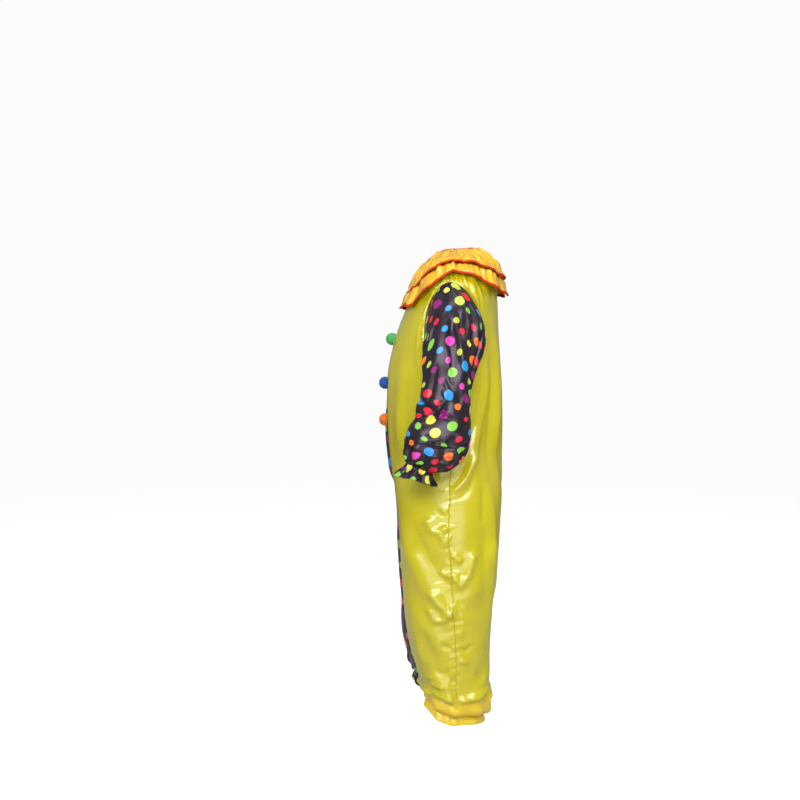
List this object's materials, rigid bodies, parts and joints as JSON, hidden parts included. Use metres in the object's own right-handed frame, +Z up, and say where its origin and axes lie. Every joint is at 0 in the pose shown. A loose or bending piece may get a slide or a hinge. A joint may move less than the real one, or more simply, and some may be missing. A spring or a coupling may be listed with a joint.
{
  "type": "clown jumpsuit",
  "caption": "Worn two-colour clown jumpsuit, half plain and half dotted satin, with puffed sleeves, gathered ankles, a two-tier ruffled collar and yarn pompoms.",
  "frame": {"origin": "middle of the neck opening, level with the points where the neck meets the shoulders", "axes": "+Z up along the wearer, +X to the wearer's left, -Y the way the wearer faces"},
  "size_m": [0.7508, 0.3967, 1.4244],
  "materials": {
    "yellow_satin": "plain lime-yellow satin",
    "dotted_satin": "black satin with round dots in eight colours",
    "gold_satin": "golden yellow satin",
    "red_trim": "matt red binding",
    "green_yarn": "fluffy green yarn",
    "blue_yarn": "fluffy blue yarn",
    "orange_yarn": "fluffy orange yarn"
  },
  "bodies": {
    "root": {"front_left": "yellow_satin", "back_left": "yellow_satin", "front_right": "dotted_satin", "back_right": "dotted_satin", "sleeve_left": "dotted_satin", "sleeve_right": "yellow_satin", "cuff_ruffle_left": "dotted_satin", "cuff_ruffle_right": "yellow_satin", "ankle_ruffle_left": "yellow_satin", "ankle_ruffle_right": "dotted_satin", "collar_upper": "gold_satin", "collar_lower": "gold_satin", "trim_upper": "red_trim", "trim_lower": "red_trim", "neck_binding": "red_trim", "pompom_green": "green_yarn", "pompom_blue": "blue_yarn", "pompom_orange": "orange_yarn"}
  },
  "joints": []
}
